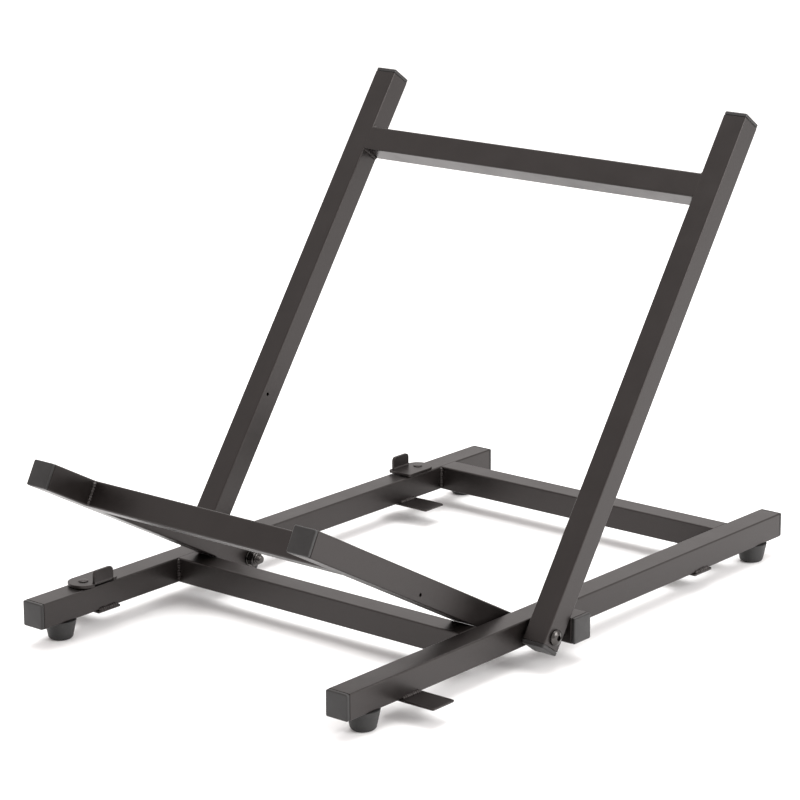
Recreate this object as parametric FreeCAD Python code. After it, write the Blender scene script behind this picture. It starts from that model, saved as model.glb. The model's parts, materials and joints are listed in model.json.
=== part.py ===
import FreeCAD, Part
import math
import os

# Folding floor stand of square steel tube: a base, a backrest and a lip frame on one common pivot line.
# The frame is +Z up, +X to the right and -Y to the front. All sizes are in millimetres and degrees.

V = FreeCAD.Vector

# ---------------------------------------------------------------- driving dimensions
TUBE = 25.0                   # outside of the square tube
WALL = 1.2                    # its wall
TUBE_CORNER = 1.6             # its outer corner radius
BASE_WIDTH = 400.0            # across the outer faces of the two rails
BASE_LENGTH = 678.0           # a rail with its two end plugs
MID_CROSSBAR_Y = 184.5        # front face of the crossbar the lip arms rest on
REAR_CROSSBAR_Y = 590.0       # front face of the rear crossbar
PIVOT_Y = 257.5               # pivot line, behind the rails' front ends
FOLD_GAP = 0.3                # air under a folded tube, between it and its rest plate
SIDE_GAP = 3.4                # between a rail and the tube that swings beside it
STOP_GAP = 0.2                # between a swinging tube and its stop in use
LEAN = 35.0                   # backrest, back from vertical
BACKREST_REACH = 531.7        # pivot line to the top of the uprights, with plugs
BACKREST_CROSSBAR = 440.0     # pivot line to the lower face of the backrest crossbar
LIP_REACH = 305.0             # pivot line to the front of the lip arms, with plugs
LIP_CROSSBAR = 219.5          # pivot line to the near face of the lip crossbar
TAIL = 10.5                   # tube left beyond the pivot line

PLUG_FLANGE = 4.5             # visible thickness of a tube end plug
PLUG_DEPTH = 14.0             # how far its shank reaches in
TAIL_PLUG_DEPTH = 3.5         # the same beside a pivot bolt
PLUG_WALL = 2.0
PLUG_PLAY = 0.05              # shank to tube wall, each side
PLUG_EDGE = 1.4               # rounding of the flange's outer edge

PLATE_LENGTH = 64.0           # rest plate, across the rail
PLATE_WIDTH = 30.0            # along the rail
PLATE_THICKNESS = 2.0
PLATE_CORNER = 2.0
PLATE_LIP = 2.5               # how far it shows on the rail's other side
FRONT_PLATE_Y = 87.0
REAR_PLATE_Y = 534.5

STUB_REACH = 33.5             # stop stub, out from the rail's outer face, with its plug

FOOT_TOP_R = 15.3
FOOT_BOTTOM_R = 12.2
FOOT_HEIGHT = 19.0
FOOT_EDGE = 4.0
FOOT_INSET = 36.0             # foot centre to the rail's end
FOOT_BORE_R = 2.7
FOOT_RECESS_R = 5.7
FOOT_RECESS_DEPTH = 9.0
FOOT_WASHER_R = 5.4
FOOT_WASHER_THICKNESS = 1.0
FOOT_SCREW_R = 2.45
FOOT_SCREW_REACH = 4.0        # above the rail's underside
FOOT_SCREW_HEAD_R = 4.8
FOOT_SCREW_HEAD_HEIGHT = 3.2
FOOT_SCREW_HEAD_EDGE = 1.6
CROSS_LENGTH = 5.6            # cross recess of the foot screws
CROSS_WIDTH = 1.1
CROSS_DEPTH = 1.8

BOLT_R = 4.0                  # pivot bolt shank
BOLT_FIT = 0.06               # radial play of the swinging tubes on it
BOLT_HEAD_R = 7.6
BOLT_HEAD_HEIGHT = 4.4
BOLT_HEAD_PLAY = 0.2
BOLT_SOCKET_FLATS = 5.0
BOLT_SOCKET_DEPTH = 2.6
BOLT_END = 4.0                # thread showing past the nut
BOLT_HEAD_RIM = 1.0           # straight edge under the head's dome
BOLT_CHAMFER = 0.8
SLEEVE_R = 6.5                # crush sleeve inside each pivoting tube
SPACER_R = 7.5                # plastic spacer between tubes
SPACER_PLAY = 0.2
NUT_FLATS = 13.0
NUT_HEIGHT = 6.2              # hexagon part
NUT_COLLAR_R = 5.9
NUT_COLLAR_HEIGHT = 2.3       # locking collar
NUT_COLLAR_EDGE = 0.9
NUT_CHAMFER = 0.4
NUT_WASHER_R = 8.5
NUT_WASHER_THICKNESS = 1.6

LATCH_HALF_WIDTH = 15.0
LATCH_REACH = 31.5            # rivet to the square end
LATCH_THICKNESS = 3.0
LATCH_CORNER = 3.0
LATCH_TAB_START = 0.5         # along the latch from the rivet
LATCH_TAB_LENGTH = 25.0
LATCH_TAB_HEIGHT = 15.5       # above the latch's underside
LATCH_TAB_CORNER = 4.5
LATCH_BEND = 1.5              # inner bend radius
FRONT_LATCH_Y = 67.5
REAR_LATCH_Y = 566.0
RIVET_R = 2.5
RIVET_HEAD_R = 4.8
RIVET_HEAD_HEIGHT = 1.3
RIVET_HEAD_RIM = 0.4
RIVET_TAIL_R = 4.0
RIVET_TAIL_HEIGHT = 1.2
RIVET_FIT = 0.05
LATCH_WASHER_R = 7.0
LATCH_WASHER_THICKNESS = 0.8
LATCH_PLAY = 0.1

DRAIN_HOLE_R = 1.8            # drain hole in the uprights and lip arms
UPRIGHT_DRAIN = 165.0         # its distance from the pivot line
LIP_ARM_DRAIN = 138.0
DRAIN_OFFSET = -5.0           # off the tube's middle line
NEAR = 0.05                   # tolerance for picking an edge by its place

# ---------------------------------------------------------------- worked out from them
HALF = TUBE / 2
RAIL_OUT = BASE_WIDTH / 2
RAIL_IN = RAIL_OUT - TUBE
RAIL_MID = RAIL_OUT - HALF
UPRIGHT_IN = RAIL_OUT + SIDE_GAP
UPRIGHT_MID = UPRIGHT_IN + HALF
UPRIGHT_OUT = UPRIGHT_IN + TUBE
ARM_OUT = RAIL_IN - SIDE_GAP
ARM_MID = ARM_OUT - HALF
ARM_IN = ARM_OUT - TUBE
PIVOT_Z = HALF + FOLD_GAP
TUBE_INNER = TUBE - 2 * WALL
INNER_CORNER = TUBE_CORNER - WALL


def stop_stub_front():
    """Front face of a stop stub whose rounded top edge meets the leaning upright's rear face."""
    lean = math.radians(LEAN)
    rise = TUBE - TUBE_CORNER - PIVOT_Z
    reach = HALF + TUBE_CORNER + STOP_GAP + rise * math.sin(lean)
    return PIVOT_Y + reach / math.cos(lean) - TUBE_CORNER


def lip_rise():
    """Angle of the lip arms above level when they rest on the mid crossbar's rounded rear edge."""
    back = PIVOT_Y - (MID_CROSSBAR_Y + TUBE - TUBE_CORNER)
    up = TUBE - TUBE_CORNER - PIVOT_Z
    away = math.hypot(back, up)
    return math.degrees(math.atan2(up, back) + math.asin((HALF + TUBE_CORNER + STOP_GAP) / away))


STUB_Y = stop_stub_front()
LIP_RISE = lip_rise()
BACKREST_TURN = -LEAN
LIP_TURN = 90.0 - LIP_RISE
LATCH_Z = TUBE + LATCH_WASHER_THICKNESS + LATCH_PLAY
LATCH_TOP = LATCH_Z + LATCH_THICKNESS


# ---------------------------------------------------------------- shapes
def rounded_square(size, corner):
    """Face of a square with rounded corners, centred on the Z axis in the XY plane."""
    if corner <= 0:
        return Part.Face(Part.makePlane(size, size, V(-size / 2, -size / 2, 0)).OuterWire)
    box = Part.makeBox(size, size, 1, V(-size / 2, -size / 2, 0))
    uprights = [edge for edge in box.Edges if abs(edge.tangentAt(edge.FirstParameter).z) > 0.9]
    rounded = box.makeFillet(corner, uprights)
    return min(rounded.Faces, key=lambda face: face.CenterOfMass.z)


def prism(face, length):
    return face.extrude(V(0, 0, length))


def tube(length):
    """Square tube along +Z from the XY plane."""
    outside = prism(rounded_square(TUBE, TUBE_CORNER), length)
    inside = prism(rounded_square(TUBE_INNER, INNER_CORNER), length)
    return outside.cut(inside)


def plug(depth=PLUG_DEPTH):
    """Tube end plug: its flange stands on the XY plane towards +Z, its hollow shank reaches towards -Z."""
    flange = prism(rounded_square(TUBE, TUBE_CORNER), PLUG_FLANGE)
    rim = [edge for edge in flange.Edges if edge.BoundBox.ZMin > PLUG_FLANGE - NEAR]
    flange = flange.makeFillet(PLUG_EDGE, rim)
    size = TUBE_INNER - 2 * PLUG_PLAY
    shank = prism(rounded_square(size, INNER_CORNER), depth)
    hollow = prism(rounded_square(size - 2 * PLUG_WALL, 0), depth)
    shank = shank.cut(hollow).translated(V(0, 0, -depth))
    return flange.fuse(shank).removeSplitter()


def turned(shape, axis, degrees):
    copy = shape.copy()
    copy.rotate(V(0, 0, 0), axis, degrees)
    return copy


def along_x(shape):
    return turned(shape, V(0, 1, 0), 90)


def along_y(shape):
    return turned(shape, V(1, 0, 0), -90)


def mirrored(shape):
    return shape.mirror(V(0, 0, 0), V(1, 0, 0))


def cylinder_x(radius, low, high, y=0.0, z=0.0):
    return Part.makeCylinder(radius, high - low, V(low, y, z), V(1, 0, 0))


def pair(name, right_shape):
    """The right-hand piece and its mirror image."""
    return {"right_" + name: right_shape, "left_" + name: mirrored(right_shape)}


def hexagon(flats, height):
    radius = flats / math.sqrt(3)
    corners = [V(radius * math.cos(math.radians(60 * i)), radius * math.sin(math.radians(60 * i)), 0)
               for i in range(7)]
    return Part.Face(Part.makePolygon(corners)).extrude(V(0, 0, height))


# ---------------------------------------------------------------- base
def rail(with_latches):
    """Right-hand rail; the latch rivets need two more holes."""
    length = BASE_LENGTH - 2 * PLUG_FLANGE
    body = along_y(tube(length)).translated(V(RAIL_MID, PLUG_FLANGE, HALF))
    body = body.cut(cylinder_x(BOLT_R + BOLT_FIT, RAIL_IN - 1, RAIL_OUT + 1, PIVOT_Y, PIVOT_Z))
    for y in (FOOT_INSET, BASE_LENGTH - FOOT_INSET):
        body = body.cut(Part.makeCylinder(RIVET_R, 2 * WALL, V(RAIL_MID, y, -WALL / 2)))
    if with_latches:
        for y in (FRONT_LATCH_Y, REAR_LATCH_Y):
            body = body.cut(Part.makeCylinder(RIVET_R, 2 * WALL, V(RAIL_MID, y, TUBE - 1.5 * WALL)))
    return body


def crossbar(width, y):
    return along_x(tube(width)).translated(V(-width / 2, y + HALF, HALF))


def rail_plugs():
    rear = along_y(plug()).translated(V(RAIL_MID, BASE_LENGTH - PLUG_FLANGE, HALF))
    front = turned(along_y(plug()), V(0, 0, 1), 180).translated(V(RAIL_MID, PLUG_FLANGE, HALF))
    return {**pair("rail_front_plug", front), **pair("rail_rear_plug", rear)}


def stop_stubs():
    """Short tubes on the rails' outer faces, behind the uprights."""
    y = STUB_Y + HALF
    stub = along_x(tube(STUB_REACH - PLUG_FLANGE)).translated(V(RAIL_OUT, y, HALF))
    cap = along_x(plug()).translated(V(RAIL_OUT + STUB_REACH - PLUG_FLANGE, y, HALF))
    return {**pair("stop_stub", stub), **pair("stop_stub_plug", cap)}


def rest_plate(outer_x, y):
    """Flat plate under a rail; outer_x is its outboard end."""
    plate = Part.makeBox(PLATE_LENGTH, PLATE_WIDTH, PLATE_THICKNESS,
                         V(outer_x - PLATE_LENGTH, y - PLATE_WIDTH / 2, -PLATE_THICKNESS))
    corners = [edge for edge in plate.Edges if abs(edge.tangentAt(edge.FirstParameter).z) > 0.9]
    return plate.makeFillet(PLATE_CORNER, corners)


def rest_plates():
    front = rest_plate(RAIL_IN - PLATE_LIP + PLATE_LENGTH, FRONT_PLATE_Y)
    rear = rest_plate(RAIL_OUT + PLATE_LIP, REAR_PLATE_Y)
    return {**pair("front_rest_plate", front), **pair("rear_rest_plate", rear)}


def foot():
    """Tapered rubber foot under the XY plane, with the recess for its screw."""
    body = Part.makeCone(FOOT_BOTTOM_R, FOOT_TOP_R, FOOT_HEIGHT, V(0, 0, -FOOT_HEIGHT))
    rim = [edge for edge in body.Edges if edge.BoundBox.ZMax < NEAR - FOOT_HEIGHT]
    body = body.makeFillet(FOOT_EDGE, rim)
    body = body.cut(Part.makeCylinder(FOOT_BORE_R, FOOT_HEIGHT, V(0, 0, -FOOT_HEIGHT)))
    return body.cut(Part.makeCylinder(FOOT_RECESS_R, FOOT_RECESS_DEPTH, V(0, 0, -FOOT_HEIGHT)))


def foot_screw():
    """Pan-head screw up through the foot into the rail's lower wall, with its washer."""
    seat = FOOT_RECESS_DEPTH - FOOT_HEIGHT
    head_top = seat - FOOT_WASHER_THICKNESS
    head_bottom = head_top - FOOT_SCREW_HEAD_HEIGHT
    washer = Part.makeCylinder(FOOT_WASHER_R, FOOT_WASHER_THICKNESS, V(0, 0, head_top))
    washer = washer.cut(Part.makeCylinder(FOOT_BORE_R, FOOT_WASHER_THICKNESS, V(0, 0, head_top)))
    head = Part.makeCylinder(FOOT_SCREW_HEAD_R, FOOT_SCREW_HEAD_HEIGHT, V(0, 0, head_bottom))
    lower = [edge for edge in head.Edges if edge.BoundBox.ZMax < head_bottom + NEAR]
    head = head.makeFillet(FOOT_SCREW_HEAD_EDGE, lower)
    cross = Part.makeBox(CROSS_LENGTH, CROSS_WIDTH, CROSS_DEPTH,
                         V(-CROSS_LENGTH / 2, -CROSS_WIDTH / 2, head_bottom))
    head = head.cut(cross).cut(turned(cross, V(0, 0, 1), 90))
    shank = Part.makeCylinder(FOOT_SCREW_R, FOOT_SCREW_REACH - head_top, V(0, 0, head_top))
    return head.fuse(shank).removeSplitter(), washer


def feet():
    nodes = {}
    screws = []
    washers = []
    screw, washer = foot_screw()
    places = {"front": FOOT_INSET, "rear": BASE_LENGTH - FOOT_INSET}
    for end, y in places.items():
        nodes.update(pair(end + "_foot", foot().translated(V(RAIL_MID, y, 0))))
        for x in (-RAIL_MID, RAIL_MID):
            screws.append(screw.translated(V(x, y, 0)))
            washers.append(washer.translated(V(x, y, 0)))
    nodes["foot_screws"] = Part.makeCompound(screws)
    nodes["foot_screw_washers"] = Part.makeCompound(washers)
    return nodes


# ---------------------------------------------------------------- pivot hardware
def sleeve(low, high):
    outside = cylinder_x(SLEEVE_R, low, high)
    return outside.cut(cylinder_x(BOLT_R + BOLT_FIT, low, high))


def pivot_bolt():
    """Button-head bolt along X on the right-hand side, head outwards."""
    under_head = UPRIGHT_OUT + BOLT_HEAD_PLAY
    nut_end = ARM_IN - SPACER_PLAY - NUT_WASHER_THICKNESS - NUT_HEIGHT - NUT_COLLAR_HEIGHT
    shank = cylinder_x(BOLT_R, nut_end - BOLT_END, under_head)
    tip = [edge for edge in shank.Edges if edge.BoundBox.XMax < nut_end - BOLT_END + NEAR]
    shank = shank.makeChamfer(BOLT_CHAMFER, tip)
    head = cylinder_x(BOLT_HEAD_R, under_head, under_head + BOLT_HEAD_HEIGHT)
    crown = [edge for edge in head.Edges if edge.BoundBox.XMin > under_head + BOLT_HEAD_HEIGHT - NEAR]
    head = head.makeFillet(BOLT_HEAD_HEIGHT - BOLT_HEAD_RIM, crown)
    socket = along_x(hexagon(BOLT_SOCKET_FLATS, BOLT_SOCKET_DEPTH + 1))
    socket = socket.translated(V(under_head + BOLT_HEAD_HEIGHT - BOLT_SOCKET_DEPTH, 0, 0))
    return shank.fuse(head).cut(socket).removeSplitter()


def lock_nut():
    """Hexagon nut with a locking collar, inboard of the right-hand lip arm."""
    seat = ARM_IN - SPACER_PLAY - NUT_WASHER_THICKNESS
    blank = along_x(hexagon(NUT_FLATS, NUT_HEIGHT)).translated(V(seat - NUT_HEIGHT, 0, 0))
    bevel = Part.makeCone(NUT_FLATS / 2, NUT_FLATS / 2 + NUT_HEIGHT, NUT_HEIGHT,
                          V(seat - NUT_HEIGHT - NUT_CHAMFER, 0, 0), V(1, 0, 0))
    blank = blank.common(bevel.fuse(cylinder_x(NUT_FLATS, seat - NUT_HEIGHT / 3, seat)))
    collar = cylinder_x(NUT_COLLAR_R, seat - NUT_HEIGHT - NUT_COLLAR_HEIGHT, seat - NUT_HEIGHT)
    rim = [edge for edge in collar.Edges
           if edge.BoundBox.XMax < seat - NUT_HEIGHT - NUT_COLLAR_HEIGHT + NEAR]
    collar = collar.makeFillet(NUT_COLLAR_EDGE, rim)
    bore = cylinder_x(BOLT_R, seat - NUT_HEIGHT - NUT_COLLAR_HEIGHT - 1, seat + 1)
    return blank.fuse(collar).cut(bore).removeSplitter()


def ring_x(radius, bore, low, high):
    return cylinder_x(radius, low, high).cut(cylinder_x(bore, low, high))


def pivot_hardware():
    """All pieces on the pivot line, shown about the X axis and then moved onto it."""
    bore = BOLT_R + BOLT_FIT
    seat = ARM_IN - SPACER_PLAY
    on_axis = {
        "pivot_bolt": pivot_bolt(),
        "pivot_nut": lock_nut(),
        "pivot_nut_washer": ring_x(NUT_WASHER_R, bore, seat - NUT_WASHER_THICKNESS, seat),
        "outer_spacer": ring_x(SPACER_R, bore, RAIL_OUT, UPRIGHT_IN - SPACER_PLAY),
        "inner_spacer": ring_x(SPACER_R, bore, ARM_OUT + SPACER_PLAY, RAIL_IN),
        "rail_sleeve": sleeve(RAIL_IN + WALL, RAIL_OUT - WALL),
        "upright_sleeve": sleeve(UPRIGHT_IN + WALL, UPRIGHT_OUT - WALL),
        "lip_arm_sleeve": sleeve(ARM_IN + WALL, ARM_OUT - WALL),
    }
    nodes = {}
    for name, shape in on_axis.items():
        nodes.update(pair(name, shape.translated(V(0, PIVOT_Y, PIVOT_Z))))
    return nodes


# ---------------------------------------------------------------- swinging frames
def swung(shape, degrees):
    """A shape drawn with the pivot line on the X axis and the frame along +Z, put in its place."""
    return turned(shape, V(1, 0, 0), degrees).translated(V(0, PIVOT_Y, PIVOT_Z))


def side_tube(mid_x, reach, drain, drain_side):
    """Right-hand tube of a swinging frame, with its pivot bore and its drain hole."""
    body = tube(TAIL + reach - PLUG_FLANGE).translated(V(mid_x, 0, -TAIL))
    body = body.cut(cylinder_x(BOLT_R + BOLT_FIT, mid_x - TUBE, mid_x + TUBE))
    start = min(mid_x, mid_x + drain_side * TUBE)
    return body.cut(cylinder_x(DRAIN_HOLE_R, start, start + TUBE, DRAIN_OFFSET, drain))


def frame_plugs(mid_x, reach):
    top = plug().translated(V(mid_x, 0, reach - PLUG_FLANGE))
    bottom = turned(plug(TAIL_PLUG_DEPTH), V(1, 0, 0), 180).translated(V(mid_x, 0, -TAIL))
    return top, bottom


def backrest():
    upright = side_tube(UPRIGHT_MID, BACKREST_REACH, UPRIGHT_DRAIN, -1)
    top, bottom = frame_plugs(UPRIGHT_MID, BACKREST_REACH)
    bar = along_x(tube(2 * UPRIGHT_IN)).translated(V(-UPRIGHT_IN, 0, BACKREST_CROSSBAR + HALF))
    nodes = {**pair("upright", upright), **pair("upright_top_plug", top),
             **pair("upright_bottom_plug", bottom), "backrest_crossbar": bar}
    return {name: swung(shape, BACKREST_TURN) for name, shape in nodes.items()}


def lip_frame():
    arm = side_tube(ARM_MID, LIP_REACH, LIP_ARM_DRAIN, 1)
    front, rear = frame_plugs(ARM_MID, LIP_REACH)
    bar = along_x(tube(2 * ARM_IN)).translated(V(-ARM_IN, 0, LIP_CROSSBAR + HALF))
    nodes = {**pair("lip_arm", arm), **pair("lip_arm_front_plug", front),
             **pair("lip_arm_rear_plug", rear), "lip_crossbar": bar}
    return {name: swung(shape, LIP_TURN) for name, shape in nodes.items()}


# ---------------------------------------------------------------- latches
def latch_plate():
    """Flat plate round the rivet, round at one end and square at the other, along +Y."""
    half = LATCH_HALF_WIDTH
    left, right, end = V(-half, 0, 0), V(half, 0, 0), LATCH_REACH
    edges = [
        Part.Arc(right, V(0, -half, 0), left).toShape(),
        Part.makeLine(left, V(-half, end, 0)),
        Part.makeLine(V(-half, end, 0), V(half, end, 0)),
        Part.makeLine(V(half, end, 0), right),
    ]
    plate = Part.Face(Part.Wire(edges)).extrude(V(0, 0, LATCH_THICKNESS))
    corners = [edge for edge in plate.Edges
               if edge.BoundBox.YMin > end - NEAR and edge.BoundBox.ZLength > 1]
    return plate.makeFillet(LATCH_CORNER, corners)


def latch_tab():
    """Finger tab bent up from the latch's +X side."""
    outer = LATCH_BEND + LATCH_THICKNESS
    root = LATCH_HALF_WIDTH - outer
    quarter = math.sqrt(0.5)

    def on_bend(radius, across, up):
        return V(root + radius * across, LATCH_TAB_START, outer + radius * up)

    top = LATCH_TAB_HEIGHT
    edges = [
        Part.Arc(on_bend(outer, 0, -1), on_bend(outer, quarter, -quarter), on_bend(outer, 1, 0)).toShape(),
        Part.makeLine(on_bend(outer, 1, 0), V(root + outer, LATCH_TAB_START, top)),
        Part.makeLine(V(root + outer, LATCH_TAB_START, top), V(root + LATCH_BEND, LATCH_TAB_START, top)),
        Part.makeLine(V(root + LATCH_BEND, LATCH_TAB_START, top), on_bend(LATCH_BEND, 1, 0)),
        Part.Arc(on_bend(LATCH_BEND, 1, 0), on_bend(LATCH_BEND, quarter, -quarter),
                 on_bend(LATCH_BEND, 0, -1)).toShape(),
        Part.makeLine(on_bend(LATCH_BEND, 0, -1), on_bend(outer, 0, -1)),
    ]
    tab = Part.Face(Part.Wire(edges)).extrude(V(0, LATCH_TAB_LENGTH, 0))
    corners = [edge for edge in tab.Edges if edge.BoundBox.ZMin > top - NEAR and edge.BoundBox.XLength > 1]
    return tab.makeFillet(LATCH_TAB_CORNER, corners)


def latch():
    """Swivel latch with its rivet on the Z axis and its underside on the XY plane."""
    plate = latch_plate()
    bend = LATCH_BEND + LATCH_THICKNESS
    notch = Part.makeBox(bend + 1, LATCH_TAB_LENGTH, LATCH_THICKNESS,
                         V(LATCH_HALF_WIDTH - bend, LATCH_TAB_START, 0))
    body = plate.cut(notch).fuse(latch_tab()).removeSplitter()
    return body.cut(Part.makeCylinder(RIVET_R + RIVET_FIT, LATCH_THICKNESS))


def latch_rivet():
    """Rivet through the latch, the washer and the rail's upper wall; z is that of the rail's frame."""
    head_seat = LATCH_TOP + LATCH_PLAY
    tail_top = TUBE - WALL
    shank = Part.makeCylinder(RIVET_R, head_seat - tail_top, V(0, 0, tail_top))
    head = Part.makeCylinder(RIVET_HEAD_R, RIVET_HEAD_HEIGHT, V(0, 0, head_seat))
    crown = [edge for edge in head.Edges if edge.BoundBox.ZMin > head_seat + RIVET_HEAD_HEIGHT - NEAR]
    head = head.makeFillet(RIVET_HEAD_HEIGHT - RIVET_HEAD_RIM, crown)
    tail = Part.makeCylinder(RIVET_TAIL_R, RIVET_TAIL_HEIGHT, V(0, 0, tail_top - RIVET_TAIL_HEIGHT))
    return shank.fuse(head).fuse(tail).removeSplitter()


def latch_washer():
    ring = Part.makeCylinder(LATCH_WASHER_R, LATCH_WASHER_THICKNESS, V(0, 0, TUBE))
    return ring.cut(Part.makeCylinder(RIVET_R, LATCH_WASHER_THICKNESS, V(0, 0, TUBE)))


def latches():
    """Both latches stand on the left rail: the front one opens outwards, the rear one inwards."""
    nodes = {}
    for end, y, turn in (("front", FRONT_LATCH_Y, 0), ("rear", REAR_LATCH_Y, 180)):
        place = V(-RAIL_MID, y, 0)
        body = turned(latch(), V(0, 0, 1), turn)
        nodes[end + "_latch"] = body.translated(place + V(0, 0, LATCH_Z))
        nodes[end + "_latch_rivet"] = latch_rivet().translated(place)
        nodes[end + "_latch_washer"] = latch_washer().translated(place)
    return nodes


# ---------------------------------------------------------------- assembly
def assembly():
    """Every piece, drawn from the rails' front ends and undersides."""
    nodes = {
        "right_rail": rail(False),
        "left_rail": mirrored(rail(True)),
        "mid_crossbar": crossbar(2 * RAIL_IN, MID_CROSSBAR_Y),
        "rear_crossbar": crossbar(2 * RAIL_IN, REAR_CROSSBAR_Y),
    }
    for group in (rail_plugs(), stop_stubs(), rest_plates(), feet(), pivot_hardware(),
                  backrest(), lip_frame(), latches()):
        nodes.update(group)
    return nodes


def front_extreme():
    """Y of the foremost point: the lip arm plug's upper or lower outer edge, rounded in both ways."""
    rise = math.radians(LIP_RISE)
    along = LIP_REACH - PLUG_EDGE
    across = HALF - PLUG_EDGE
    return PIVOT_Y - along * math.cos(rise) - across * math.sin(rise) - PLUG_EDGE


# The origin is on the floor, under the middle of the whole stand as it stands in use.
ORIGIN_SHIFT = V(0, -(front_extreme() + BASE_LENGTH) / 2, FOOT_HEIGHT)

os.makedirs("parts", exist_ok=True)
for node_name, node_shape in assembly().items():
    node_shape.translated(ORIGIN_SHIFT).exportStep("parts/" + node_name + ".step")
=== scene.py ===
import json
import math

import bmesh
import bpy
from mathutils import Matrix, Vector


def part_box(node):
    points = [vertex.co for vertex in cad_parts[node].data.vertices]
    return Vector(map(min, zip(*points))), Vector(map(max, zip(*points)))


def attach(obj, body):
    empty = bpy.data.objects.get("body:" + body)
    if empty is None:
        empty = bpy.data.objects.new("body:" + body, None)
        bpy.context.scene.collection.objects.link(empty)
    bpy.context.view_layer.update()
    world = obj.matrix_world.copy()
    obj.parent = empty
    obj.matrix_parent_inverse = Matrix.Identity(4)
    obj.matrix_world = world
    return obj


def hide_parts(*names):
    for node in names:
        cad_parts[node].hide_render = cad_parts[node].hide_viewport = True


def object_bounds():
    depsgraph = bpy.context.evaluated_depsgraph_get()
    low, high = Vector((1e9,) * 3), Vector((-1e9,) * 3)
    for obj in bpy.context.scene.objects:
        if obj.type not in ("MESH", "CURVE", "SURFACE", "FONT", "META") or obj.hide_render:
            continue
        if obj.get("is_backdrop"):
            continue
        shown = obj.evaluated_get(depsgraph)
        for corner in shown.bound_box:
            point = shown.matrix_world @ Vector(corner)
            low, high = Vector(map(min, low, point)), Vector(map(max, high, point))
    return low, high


# The looks of a fold-flat amplifier stand of square steel tube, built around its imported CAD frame.
# All sizes are in metres. +Z is up, +X to the right and -Y to the front.

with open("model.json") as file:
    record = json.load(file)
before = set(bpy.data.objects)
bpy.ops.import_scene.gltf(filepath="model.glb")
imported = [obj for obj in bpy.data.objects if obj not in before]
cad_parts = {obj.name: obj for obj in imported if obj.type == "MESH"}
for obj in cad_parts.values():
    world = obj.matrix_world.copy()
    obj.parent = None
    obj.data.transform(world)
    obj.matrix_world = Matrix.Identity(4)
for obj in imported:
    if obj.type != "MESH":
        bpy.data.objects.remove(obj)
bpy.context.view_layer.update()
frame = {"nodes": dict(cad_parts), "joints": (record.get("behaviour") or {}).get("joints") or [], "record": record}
record = frame["record"]

# ---------------------------------------------------------------- sizes that the frame doesn't give
MM = 0.001
WALL = 1.2 * MM
TUBE_CORNER = 1.6 * MM
TUBE_END_EDGE = 0.3 * MM
CORNER_STEPS = 8

PLUG_FLANGE = 4.5 * MM
PLUG_CORNER = 1.7 * MM
PLUG_EDGE = 1.3 * MM
PLUG_INSET = 0.12 * MM
PLUG_CROWN = 0.35 * MM
PLUG_SEAM = 0.6 * MM
PLUG_SEAM_DEPTH = 0.8 * MM
PLUG_SEAM_EDGE = 0.15 * MM
PLUG_EDGE_STEPS = 5
PLUG_CROWN_SHARES = (0.7, 0.4, 0.15)    # of the flat width, where the crown's rings lie
PLUG_CROWN_CORNER = 0.6                 # corner radius there, as a share
PLUG_DEPTH = 13.0 * MM
TAIL_PLUG_DEPTH = 3.4 * MM
PLUG_SHANK_PLAY = 0.15 * MM
PLUG_SHANK_CORNER = 0.9 * MM
PLUG_LEAD_IN = 1.0 * MM                 # length of the taper at the shank's end
PLUG_LEAD_IN_TAPER = 1.2 * MM
PLUG_LEAD_IN_CORNER = 0.6 * MM
PLUG_HOLLOW_SHARE = 0.8                 # of the shank's width
PLUG_HOLLOW_CORNER = 0.4 * MM
PLUG_HOLLOW_FLOOR = 0.1 * MM

PLATE_EDGE = 0.45 * MM
PLATE_CORNER = 2.0 * MM

FOOT_EDGE = 4.0 * MM
FOOT_EDGE_STEPS = 8
FOOT_TAPER = 3.1 * MM
FOOT_TOP_EDGE = 0.6 * MM
FOOT_TOP_BEND = (0.1 * MM, 0.24 * MM)   # inset and drop of the middle of that edge
FOOT_RECESS_R = 5.7 * MM
FOOT_RECESS_DEPTH = 9.0 * MM
FOOT_RECESS_EDGE = 0.5 * MM
FOOT_BORE_R = 2.7 * MM

BOLT_R = 4.0 * MM
BOLT_HEAD_R = 7.6 * MM
BOLT_HEAD_HEIGHT = 4.4 * MM
BOLT_HEAD_RIM = 1.0 * MM
BOLT_POINT_INSET = 1.1 * MM
BOLT_POINT_LENGTH = 0.5 * MM
BOLT_SOCKET_FLATS = 5.0 * MM
BOLT_SOCKET_DEPTH = 2.6 * MM
BOLT_SOCKET_LAND = 1.0 * MM             # flat left around the socket
BOLT_SOCKET_MOUTH = 0.5 * MM            # how much wider the socket is where it opens
BOLT_MOUTH_START = 0.1 * MM
BOLT_MOUTH_END = 0.35 * MM
BOLT_SOCKET_CONE = 0.5 * MM
THREAD_PITCH = 1.25 * MM
THREAD_DEPTH = 0.65 * MM
THREAD_SHOWN = 16.0 * MM
THREAD_STEPS = 8                        # rings per turn
DOME_FOOT = 0.2 * MM
DOME_STEPS = 6
DOME_TOP = 0.98                         # share of the quarter turn, so that it ends beside the axis

NUT_FLATS = 13.0 * MM
NUT_COLLAR_R = 5.9 * MM
NUT_COLLAR_HEIGHT = 2.3 * MM
NUT_COLLAR_EDGE = 0.9 * MM
NUT_COLLAR_STEPS = 5
NUT_CHAMFER = 0.7 * MM
NUT_CHAMFER_SHARES = (0.3, 0.6, 1.0)
NUT_SEAT_INSET = 0.3 * MM
NUT_BACK_INSET = 0.2 * MM
NUT_BORE_PLAY = 0.02 * MM
NUT_BORE_EDGE = 0.3 * MM
RING_EDGE = 0.3 * MM
RING_PLAY = 0.06 * MM

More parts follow.
